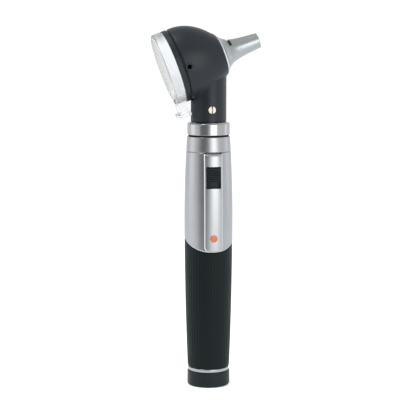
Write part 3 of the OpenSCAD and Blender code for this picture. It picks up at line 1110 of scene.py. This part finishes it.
# %% Switch plate
plate_low, plate_high = bottom("switch_bezel"), top("switch_bezel")
plate_half = half_width("switch_bezel") - 0.02
slot_half, slot_low, slot_high = 1.3, 95.9, 101.7
share = slot_half / plate_half
plate_rows = np.concatenate([[plate_low, 93.2, 94, 95, slot_low], np.linspace(97, 101, 5),
                             [slot_high, 102.3, plate_high]])
plate_across = np.concatenate([[-1, -0.8, -0.6], np.linspace(-share, share, 5), [0.6, 0.8, 1]])
panel("switch_plate", lambda z: plate_half + 0 * z, plate_across, plate_rows,
      lambda x, z: 0.15 + 0 * x, lambda x, z: 0 * x - 1.05, (slot_half, slot_low, slot_high),
      0.12, cap_black, "handle", ["switch_bezel"], "black_cap")

# %% [markdown]
# The thumb switch is a ridged block: one outline with rounded ridges, carried from side to
# side, and drawn in slightly at both ends so that its edges are soft.

# %% Thumb switch
slider_low, slider_high = bottom("switch_slider"), top("switch_slider")
slider_half = half_width("switch_slider")
slider_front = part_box("switch_slider")[0].y / mm
slider_back = -11.2
ridge_count = 6
climb = np.linspace(0, 1, 12 * ridge_count + 1)
valley = (0.5 + 0.5 * np.cos(2 * math.pi * ridge_count * climb)) ** 2.2
slider_face = [(slider_front + 0.42 * v, slider_low + 0.1 + c * (slider_high - slider_low - 0.2))
               for v, c in zip(valley, climb)]
slider_outline = slider_face + [(slider_front + 0.7, slider_high), (slider_back, slider_high),
                                (slider_back, slider_low), (slider_front + 0.7, slider_low)]
slider_outline = np.array(slider_outline)
middle = np.array([(slider_front + slider_back) / 2, (slider_low + slider_high) / 2])
sections = []
for x, shrink in ((-1, 0.9), (-0.97, 0.96), (-0.92, 1), (0.92, 1), (0.97, 0.96), (1, 0.9)):
    outline = middle + (slider_outline - middle) * (shrink ** 0.8, shrink ** 0.3)
    sections.append(np.column_stack([x * slider_half + 0 * outline[:, 0], outline]))
slider_faces = lidded(len(sections), len(slider_outline))
add_piece("thumb_switch", np.concatenate(sections), slider_faces, cap_black, "switch",
          ["switch_slider"], "black_cap")

# %% [markdown]
# A stem reaches from the switch through the slot, and a wider foot behind the plate keeps
# it in. Both are plain blocks with broken edges, and ride with the switch.


# %% Stem and foot of the switch
def switch_block(name, low, high, edge):
    """A small moulded block between two corners in mm."""
    block = add_piece(name, *box_shell(low, high), cap_black, "switch", (), "black_cap")
    break_edges(block, edge)


switch_block("switch_stem", (-1.05, -11.3, 99.2), (1.05, -8.95, 101.4), 0.15)
switch_block("switch_foot", (-1.95, -9.1, 97.8), (1.95, -8.62, 101.6), 0.12)

# %% [markdown]
# ## Shapes from sums of distances
#
# The head and the window are moulded in one piece from simple bodies that flow into each
# other. They are described by a formula that is negative inside and positive outside. A
# rough mesh is made first, remeshed evenly, and then every point is moved to where the
# formula is zero. The formulas are built from a few small ones, joined softly.


# %% Soft unions and ovals
def soft_max(a, b, r):
    overlap = np.maximum(r - np.abs(a - b), 0) / r
    return np.maximum(a, b) + overlap * overlap * r / 4


def soft_min(a, b, r):
    return -soft_max(-a, -b, r)


def oval(t, y, centre, tall, wide):
    """Distance, nearly, from an oval of those half sizes across the line of sight."""
    reach = np.sqrt(((t - centre) / tall) ** 2 + (y / wide) ** 2)
    slope = np.sqrt(((t - centre) / tall ** 2) ** 2 + (y / wide ** 2) ** 2)
    return (reach - 1) * np.maximum(reach, 1e-3) / np.maximum(slope, 1e-3)


print("a soft union of 0 and 0 is", soft_min(0.0, 0.0, 0.4))

# %% [markdown]
# The rough mesh is put together from closed shells. Holes are cut in each shell by knives,
# which are shells too, because a remesh needs to find the holes already there.


# %% Rough solids
def rough_thing(points, faces):
    return placed("rough", clean_mesh("rough", points, faces, 0.001))


def rough_solid(*shells):
    """One mesh from closed shells. Each shell is followed by the knives that cut it."""
    joined = bmesh.new()
    for shell, *knives in shells:
        thing = rough_thing(*shell)
        cutters = [rough_thing(*knife) for knife in knives]
        for cutter in cutters:
            cut = thing.modifiers.new("cut", "BOOLEAN")
            cut.operation = "DIFFERENCE"
            cut.solver = "EXACT"
            cut.object = cutter
        graph = bpy.context.evaluated_depsgraph_get()
        joined.from_mesh(thing.evaluated_get(graph).to_mesh())
        for spent in [thing] + cutters:
            bpy.data.objects.remove(spent)
    mesh = bpy.data.meshes.new("rough_joined")
    joined.to_mesh(mesh)
    joined.free()
    return mesh


def closed_sweep(profile, place, count=96):
    """A closed ring of points for each profile entry; place turns entry and angle into xyz."""
    angles = all_round(count)
    points = np.concatenate([place(entry, angles) for entry in profile])
    return points, quads(len(profile), count, closed_rows=True, closed_columns=True)


def rod(start, end, radius, count=48):
    """A plain closed rod between two points in mm, used only as a knife or a rough core."""
    start, end = Vector(start), Vector(end)
    turn = (end - start).to_track_quat("Z", "Y")
    rings = []
    for centre, r in ((start, 0), (start, radius), (end, radius), (end, 0)):
        for angle in all_round(count):
            spot = turn @ Vector((r * math.cos(angle), r * math.sin(angle), 0))
            rings.append(tuple(centre + spot))
    return np.array(rings), quads(4, count, closed_columns=True)


print("a rod has", len(rod((0, 0, 0), (0, 0, 1), 1)[0]), "points")

# %% [markdown]
# The flow takes small steps against the formula's slope until each point sits where the
# formula is zero. The slope at that place is also the exact direction in which the surface
# faces, so it becomes the shading normal, and the grid of the remesh doesn't show.


# %% Moving a mesh onto a formula
def flow_onto(mesh, formula, voxel, rounds=8):
    """Remeshes evenly at that size in mm, and moves every point onto the formula."""
    thing = placed("flowing", mesh)
    remesh = thing.modifiers.new("even", "REMESH")
    remesh.mode = "VOXEL"
    remesh.voxel_size = voxel * mm
    graph = bpy.context.evaluated_depsgraph_get()
    even = bpy.data.meshes.new_from_object(thing.evaluated_get(graph))
    bpy.data.objects.remove(thing)
    flat = np.empty(len(even.vertices) * 3, np.float32)
    even.vertices.foreach_get("co", flat)
    points = flat.reshape(-1, 3).astype(float) / mm
    step = 0.01
    for _ in range(rounds):
        value = formula(points)
        slope = np.empty_like(points)
        for axis in range(3):
            nudge = np.zeros(3)
            nudge[axis] = step
            slope[:, axis] = (formula(points + nudge) - formula(points - nudge)) / (2 * step)
        size = np.maximum((slope ** 2).sum(axis=1), 0.05)
        move = -value[:, None] * slope / size[:, None]
        length = np.maximum(np.linalg.norm(move, axis=1, keepdims=True), 1e-9)
        points += move * np.minimum(1, voxel / length)
    even.vertices.foreach_set("co", (points * mm).astype(np.float32).ravel())
    even.update()
    for polygon in even.polygons:
        polygon.use_smooth = True
    slope /= np.maximum(np.linalg.norm(slope, axis=1, keepdims=True), 1e-9)
    even.normals_split_custom_set_from_vertices(slope.tolist())
    print("flowed", len(points), "points; farthest off", round(abs(value).max(), 3), "mm")
    return even


print("flow ready")

# %% [markdown]
# ## Head housing
#
# The head is one black moulding: an upright neck that plugs over the collar, and a domed
# body that narrows from the tall oval window frame to the round seat of the cone. Inside
# it is hollow, so that the user can look straight through it. First comes its formula.

# %% Formula of the head
neck_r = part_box("neck_insert")[1].y / mm + 1.23
neck_foot = bottom("head_housing")
rear_top, rear_low, rear_side = 19.1, 14.7, 13.6
front_s, front_r, front_side = 22.0, 9.5, 9.45
bulb_back, hollow_front, mouth_r = 2.2, 20.2, 7.42
bore_r, bore_top = 7.0, 134
port_depth, pocket_depth = 4.0, 7.3
wall = 1.7
relief_top = 134.9
neck_top = 144.3
guide_hole = 2.3
port_s, port_t = 4.2, 1.0
port_hole, screw_hole = 1.7, 1.45
screw_z = (bottom("neck_screw") + top("neck_screw")) / 2


def dome(s, rear, front):
    share = np.maximum(0, s - 3.5) / (front_s - 3.5)
    return rear - (rear - front) * share ** 2.2


def bulb_section(s, inset):
    up, down = dome(s, rear_top, front_r), dome(s, rear_low, front_r)
    side = dome(s, rear_side, front_side)
    return (up - down) / 2, (up + down) / 2 - inset, side - inset


def head_formula(points):
    s, t, y = to_sight(points)
    z = points[:, 2]
    out = np.hypot(points[:, 0], y)
    outside = oval(t, y, *bulb_section(s, 0))
    body = soft_max(soft_max(outside, bulb_back - s, 1.0), s - front_s, 0.5)
    body = soft_max(body, -soft_max(out - neck_r - 0.7, z - relief_top, 0.2), 0.3)
    neck = soft_max(soft_max(out - neck_r, neck_foot - z, 0.5), z - neck_top, 0.3)
    whole = soft_min(body, neck, 0.4)
    hollow = oval(t, y, *bulb_section(s, wall))
    hollow = soft_max(hollow, s - hollow_front, 0.6)
    mouth = soft_max(np.hypot(t, y) - mouth_r, 15 - s, 0.2)
    hollow = soft_min(hollow, mouth, 0.3)
    whole = soft_max(whole, -hollow, 0.4)
    bore = soft_max(out - bore_r, z - bore_top, 0.2)
    whole = soft_max(whole, -soft_min(bore, out - guide_hole, 0.2), 0.3)
    port = soft_max(np.hypot(s - port_s, t - port_t) - port_hole, y + port_depth, 0.1)
    whole = soft_max(whole, -port, 0.2)
    pocket = np.hypot(points[:, 0], z - screw_z) - screw_hole
    pocket = soft_max(pocket, y + pocket_depth, 0.1)
    return soft_max(whole, -pocket, 0.2)


print("neck radius", round(neck_r, 2), "and screw at height", round(screw_z, 2))

# %% [markdown]
# The rough mesh of the head has two shells, the bulb and the neck. The port is cut through
# the bulb. The neck loses its screw pocket, and whatever would stand in the hollow. The
# flow then draws both onto the formula, where they join softly.


# %% Rough mesh of the head, flowed onto the formula
def bulb_ring(entry, angles):
    s, inset = entry
    centre, tall, wide = bulb_section(np.array(s, float), inset)
    return from_sight(s, centre + tall * np.cos(angles), wide * np.sin(angles))


def neck_ring(entry, angles):
    return round_handle(*entry, angles)


def sight_rod(start, end, t, radius, count=48):
    """A rod along the line of sight, or beside it at height t."""
    return rod(from_sight(start, t, 0.0), from_sight(end, t, 0.0), radius, count)


steps = 24
outer_s = np.linspace(bulb_back, front_s, steps)
inner_s = np.linspace(hollow_front, bulb_back, steps)
bulb_profile = [(s, 0) for s in outer_s] + [(front_s, 2.05), (hollow_front, 2.1)]
bulb_profile += [(s, wall) for s in inner_s]
neck_profile = [(neck_r, neck_foot), (neck_r, neck_top), (guide_hole, neck_top),
                (guide_hole, bore_top), (bore_r, bore_top), (bore_r, neck_foot)]
port_knife = rod(from_sight(port_s, port_t, -16.0), from_sight(port_s, port_t, -port_depth),
                 port_hole)
screw_knife = rod((0, -9, screw_z), (0, -pocket_depth, screw_z), screw_hole)
hollow_s = np.linspace(1.0, hollow_front, steps)
hollow_points, _ = closed_sweep([(s, wall) for s in hollow_s], bulb_ring)
hollow_knife = (hollow_points, lidded(steps, len(hollow_points) // steps))
mouth_knife = sight_rod(10.0, 30.0, 0.0, mouth_r, 96)
rough_head = rough_solid(
    (closed_sweep(bulb_profile, bulb_ring), port_knife),
    (closed_sweep(neck_profile, neck_ring), screw_knife, hollow_knife, mouth_knife))
head_voxel = 0.3
head_mesh = flow_onto(rough_head, head_formula, head_voxel)
dress(placed("head_body", head_mesh), head_black, "head", ["head_housing"], "black_head")

# %% [markdown]
# ## Rear rim
#
# A separate oval ring closes the back of the head and carries the window's pin. A shallow
# groove runs behind it. Where the neck stands in its way, the ring is trimmed to clear it.

# %% Rear rim
rim_profile = [
    (-0.5, 16.9, 13.6, 2.2), (1.6, 16.9, 13.6, 2.2), (1.7, 16.2, 12.9, 2.2),
    (2.3, 16.2, 12.9, 2.2), (2.3, 12.2, 10.4, 3.8), (-0.5, 12.2, 10.4, 3.8),
]
rim_rows = np.array(rounded(rim_profile, 0.35, 4))[:, :, None]
rim_angles = all_round(160)
rim_s, rim_height, rim_width, rim_centre = (rim_rows[:, k] for k in range(4))
rim_points = from_sight(rim_s, rim_centre + rim_height * np.cos(rim_angles),
                        rim_width * np.sin(rim_angles)).reshape(-1, 3)
away = np.hypot(rim_points[:, 0], rim_points[:, 1])
near_neck = (away < neck_r + 0.7) & (rim_points[:, 2] < relief_top)
push = np.where(near_neck, (neck_r + 0.7) / away, 1)[:, None]
rim_points[:, :2] *= push
rim_faces = quads(len(rim_rows), len(rim_angles), closed_rows=True, closed_columns=True)
weigh_normals(add_piece("rear_oval_rim", rim_points, rim_faces, head_black, "head",
                        ["rear_rim"], "black_head"))
print("rim points trimmed at the neck:", int(near_neck.sum()))

# %% [markdown]
# ## Viewing window
#
# The window is a thick slab of clear acrylic: an oval with a thumb tab below it, and a lip
# along the tab's lower end for the thumb. It swings sideways on a pin, to let an
# instrument in. Being thick, it shows its own edge as a bright band.

# %% Formula of the window
glass_front, glass_back = -0.6, -5.4
disc_centre, disc_tall, disc_wide = 2.2, 16.8, 13.5
pin_t, pin_hole = -12.6, 1.05
tab_half, tab_top, tab_low = 5.0, -8.0, -20.6
lip_back, lip_top = -6.6, -18.6
neck_clear = neck_r + 0.6


def slab(value, low, high):
    return np.maximum(low - value, value - high)


def window_formula(points):
    s, t, y = to_sight(points)
    out = np.hypot(points[:, 0], y)
    disc = oval(t, y, disc_centre, disc_tall, disc_wide)
    crown = 0.15 * np.clip(1 - (t - disc_centre) ** 2 / 280 - y ** 2 / 180, 0, 1)
    disc = soft_max(disc, slab(s, glass_back - crown + 0.15, glass_front), 0.6)
    tab = soft_max(slab(y, -tab_half, tab_half), slab(t, tab_low, tab_top), 1.2)
    lip = soft_max(tab, slab(s, lip_back, glass_front), 0.5)
    lip = soft_max(lip, slab(t, tab_low, lip_top), 0.5)
    tab = soft_max(tab, slab(s, glass_back + 0.15, glass_front - 0.25), 0.5)
    whole = soft_min(soft_min(disc, tab, 0.4), lip, 0.6)
    whole = soft_max(whole, pin_hole - np.hypot(t - pin_t, y), 0.2)
    return soft_max(whole, neck_clear - out, 0.4)


print("window is", round(glass_front - glass_back, 2), "mm thick")

# %% [markdown]
# The rough mesh of the window has three shells: the oval disc, the tab and the lip. Each is
# cut by the hole for the pin, where it has one, and by the room that the neck needs.


# %% Rough mesh of the window, flowed onto the formula
def disc_ring(entry, angles):
    s, share = entry
    t = disc_centre + disc_tall * share * np.cos(angles)
    return from_sight(s, t, disc_wide * share * np.sin(angles))


def tab_ring(entry, angles):
    s, share = entry
    centre = (tab_top + tab_low) / 2
    half = (tab_top - tab_low) / 2
    turn = np.stack([np.cos(angles), np.sin(angles)])
    turn = turn / abs(turn).max(axis=0) * share
    return from_sight(s, centre + half * turn[0], tab_half * turn[1])


slab_profile = [(glass_back, 0.001), (glass_back, 1), (glass_front, 1), (glass_front, 0.001)]
lip_corners, lip_faces = box_shell((lip_back, tab_low, -tab_half), (-5.0, lip_top, tab_half))
lip_shell = (from_sight(*lip_corners.T), lip_faces)
pin_knife = sight_rod(-8.0, 2.0, pin_t, pin_hole)
neck_knife = rod((0, 0, 118), (0, 0, 150), neck_clear, 96)
rough_window = rough_solid((closed_sweep(slab_profile, disc_ring), pin_knife, neck_knife),
                           (closed_sweep(slab_profile, tab_ring), pin_knife, neck_knife),
                           (lip_shell, neck_knife))
window_voxel = 0.22
window_mesh = flow_onto(rough_window, window_formula, window_voxel)
dress(placed("clear_window", window_mesh), acrylic, "window", ["viewing_window"], "clear")


# %% [markdown]
# ## Pin and port
#
# Small turned parts. The window swings on a headed pin. A bulb for blowing a puff of air
# is plugged into the port, a short tube with a rounded mouth and a dark floor. They are
# turned like the rings, but on axes of their own.


# %% Window pin and port
def round_axis(start, axis):
    """Gives the place function of an axis that starts anywhere."""
    axis = np.asarray(axis, float)
    side = np.cross(axis, (0.0, 1.0, 0.001))
    side /= np.linalg.norm(side)
    other = np.cross(axis, side)

    def place(radius, distance, angles):
        turn = np.cos(angles)[:, None] * side + np.sin(angles)[:, None] * other
        return np.asarray(start) + distance[..., None] * axis + radius[..., None] * turn

    return place


pin_corners = [(0, -5.8, 0), (1.3, -5.8, 0.2), (1.3, -5.5, 0.1), (1.0, -5.5, 0.05),
               (1.0, 1.6, 0.1), (0, 1.6, 0)]
pin_axis = round_axis(from_sight(0.0, pin_t, 0.0), along)
turned("window_pin_headed", rounded(pin_corners), tube_metal, "head", ["window_pin"],
       "tube_metal", place=pin_axis, segments=64)

port_axis = round_axis(from_sight(port_s, port_t, 0.0), (0, -1, 0))
port_corners = [(1.0, 10.95, 0.05), (1.93, 10.95, 0.05), (1.93, 14.1, 0.4), (1.0, 14.1, 0.3)]
turned("port_tube", rounded(port_corners), head_black, "head", ["port_bush"], "black_head",
       place=port_axis, segments=64)
plug_corners = [(0, 9.5, 0), (1.93, 9.5, 0.1), (1.93, 10.9, 0.1), (0, 10.9, 0)]
turned("port_floor", rounded(plug_corners), inner_black, "head", (), "black_inner",
       place=port_axis, segments=64)

# %% [markdown]
# ## Neck screw
#
# One slotted screw goes through the neck and holds the lamp tube. The slot could be cut
# with a boolean, but it is cleaner to build what is left: two D-shaped lands on a disc.


# %% Neck screw
screw_r, screw_back = 1.7, -6.6
screw_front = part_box("neck_screw")[0].y / mm
driver_half, driver_floor = 0.22, screw_front + 0.45


def land(side):
    """What is left of the screw's face on one side of the slot."""
    spread = math.acos(driver_half / screw_r)
    arc = np.linspace(-spread, spread, 24)
    outline = np.column_stack([side * screw_r * np.cos(arc), screw_r * np.sin(arc)])
    rows = [(1, driver_floor + 0.05), (1, screw_front + 0.12), (0.97, screw_front + 0.04),
            (0.92, screw_front)]
    middle = outline.mean(axis=0)
    rings = [np.column_stack([middle[0] + (outline[:, 0] - middle[0]) * size, y + 0 * arc,
                              (outline[:, 1] - middle[1]) * size]) for size, y in rows]
    return np.concatenate(rings), lidded(len(rows), len(arc))


def screw_disc():
    """The rest of the screw, from the floor of its slot back into the neck."""
    turns = all_round(64)
    rows = [(0.001, driver_floor), (screw_r, driver_floor), (screw_r, screw_back),
            (0.001, screw_back)]
    rings = [np.column_stack([r * np.cos(turns), y + 0 * turns, r * np.sin(turns)])
             for r, y in rows]
    faces = quads(len(rows), len(turns), closed_rows=True, closed_columns=True)
    return np.concatenate(rings), faces


screw_points, screw_faces = np.empty((0, 3)), []
for shell_points, shell_faces in (land(-1), land(1), screw_disc()):
    screw_faces += [tuple(i + len(screw_points) for i in face) for face in shell_faces]
    screw_points = np.concatenate([screw_points, shell_points + (0, 0, screw_z)])
weigh_normals(add_piece("slotted_screw", screw_points, screw_faces, nickel, "head",
                        ["neck_screw"], "nickel"))

# %% [markdown]
# ## Speculum cone
#
# The cone is drawn from thin metal, flared at its base and bevelled where it meets the
# head. A slot across its upper side locks a push-on ear tip. The grid lines of the skin
# close together at the slot's ends, so that the slot comes out with round ends.

# %% Outline of the cone
cone_tip = 40.4
cone_wall = 0.5
flare_s = 22.6
slot_middle, slot_half_width = 26.75, 0.75
slot_reach, slot_end = math.radians(58), math.radians(5.5)


def cone_r(s):
    return 3.5 + 0.09 * (cone_tip - s) + 3.9 * np.exp(-(s - flare_s) / 2.6)


cone_angles = all_round(360)
from_top = abs((cone_angles + math.pi) % (2 * math.pi) - math.pi)
past = np.clip((from_top - slot_reach) / slot_end, 0, 1)
open_half = slot_half_width * np.sqrt(1 - past ** 2)
base_scale = 9.0 / cone_r(flare_s)
bevel = [(22.0, 9.35), (22.08, 9.33), (22.55, 9.04)]
cone_s = [s + 0 * cone_angles for s, _ in bevel]
cone_radii = [r + 0 * cone_angles for _, r in bevel]
for s in np.linspace(22.65, slot_middle - slot_half_width - 0.1, 24):
    cone_s.append(s + 0 * cone_angles)
    settled = min(1, s - flare_s)
    cone_radii.append(cone_r(cone_s[-1]) * (base_scale + (1 - base_scale) * settled))
slot_row = len(cone_s)
for side in (-1, 1):
    cone_s.append(slot_middle + side * open_half)
    cone_radii.append(cone_r(cone_s[-1]))
for s in np.linspace(slot_middle + slot_half_width + 0.1, cone_tip, 30):
    cone_s.append(s + 0 * cone_angles)
    cone_radii.append(cone_r(s) + 0 * cone_angles)
cone_s, cone_radii = np.array(cone_s), np.array(cone_radii)
cone_points = round_sight(cone_radii, cone_s, cone_angles).reshape(-1, 3)
print("the cone's slot is", 2 * slot_half_width, "mm wide")

# %% [markdown]
# The faces between the two rows of the slot are left out, as far round as the slot goes.
# The skin is then thickened inwards, like the shell. A short spigot inside the head carries
# the cone.

# %% Cone with its slot, and its spigot
cone_faces = []
for index, face in enumerate(quads(*cone_s.shape, closed_columns=True)):
    row, column = divmod(index, len(cone_angles))
    if row != slot_row or from_top[column] > slot_reach + slot_end:
        cone_faces.append(face)
# The cone's material paints a highlight on the bevel at its base.
cone = add_piece("cone_shell", cone_points, cone_faces, steel_painted_bevel_highlight, "head",
                 ["speculum_cone"], "cone_metal")


def on_sight_line(point):
    s, _, _ = to_sight(np.array(point))
    return Vector(sight_zero + s * along)


face_away(cone, on_sight_line)
thicken(cone, cone_wall, 0.09, 2)
spigot_corners = [(6.75, 20.0), (7.35, 20.0), (7.35, 22.3), (6.75, 22.3)]
turned("cone_spigot", rounded(spigot_corners, 0.1), cone_steel, "head", (), "cone_metal",
       place=round_sight)

# %% [markdown]
# ## Pieces that keep their mechanical shape
#
# Springs, cells, contacts and the lamp are inside. Their mechanical shapes are already
# complete, so they only need their own materials.

# %% Dress the inner pieces
inner_finishes = {
    "cap_seal": rubber_black, "cap_spring": nickel, "cap_contact": nickel,
    "battery_tube": tube_metal, "battery_lower": sleeve, "battery_upper": sleeve,
    "contact_block": cream, "contact_spring": gold_plate, "contact_pin": gold_plate,
    "switch_contact": nickel, "clip_pin": chrome, "clip_spring": chrome,
    "snap_ring": chrome, "neck_insert": nickel, "led_module": tube_metal,
    "led_lens": lamp_lens, "light_guide": inner_black, "window_seal": rubber_black,
    "fibre_ring": fibre, "cone_liner": inner_black,
}
for node, material in inner_finishes.items():
    nodes[node].data.materials.clear()
    nodes[node].data.materials.append(material)
print("dressed", len(inner_finishes), "inner pieces")
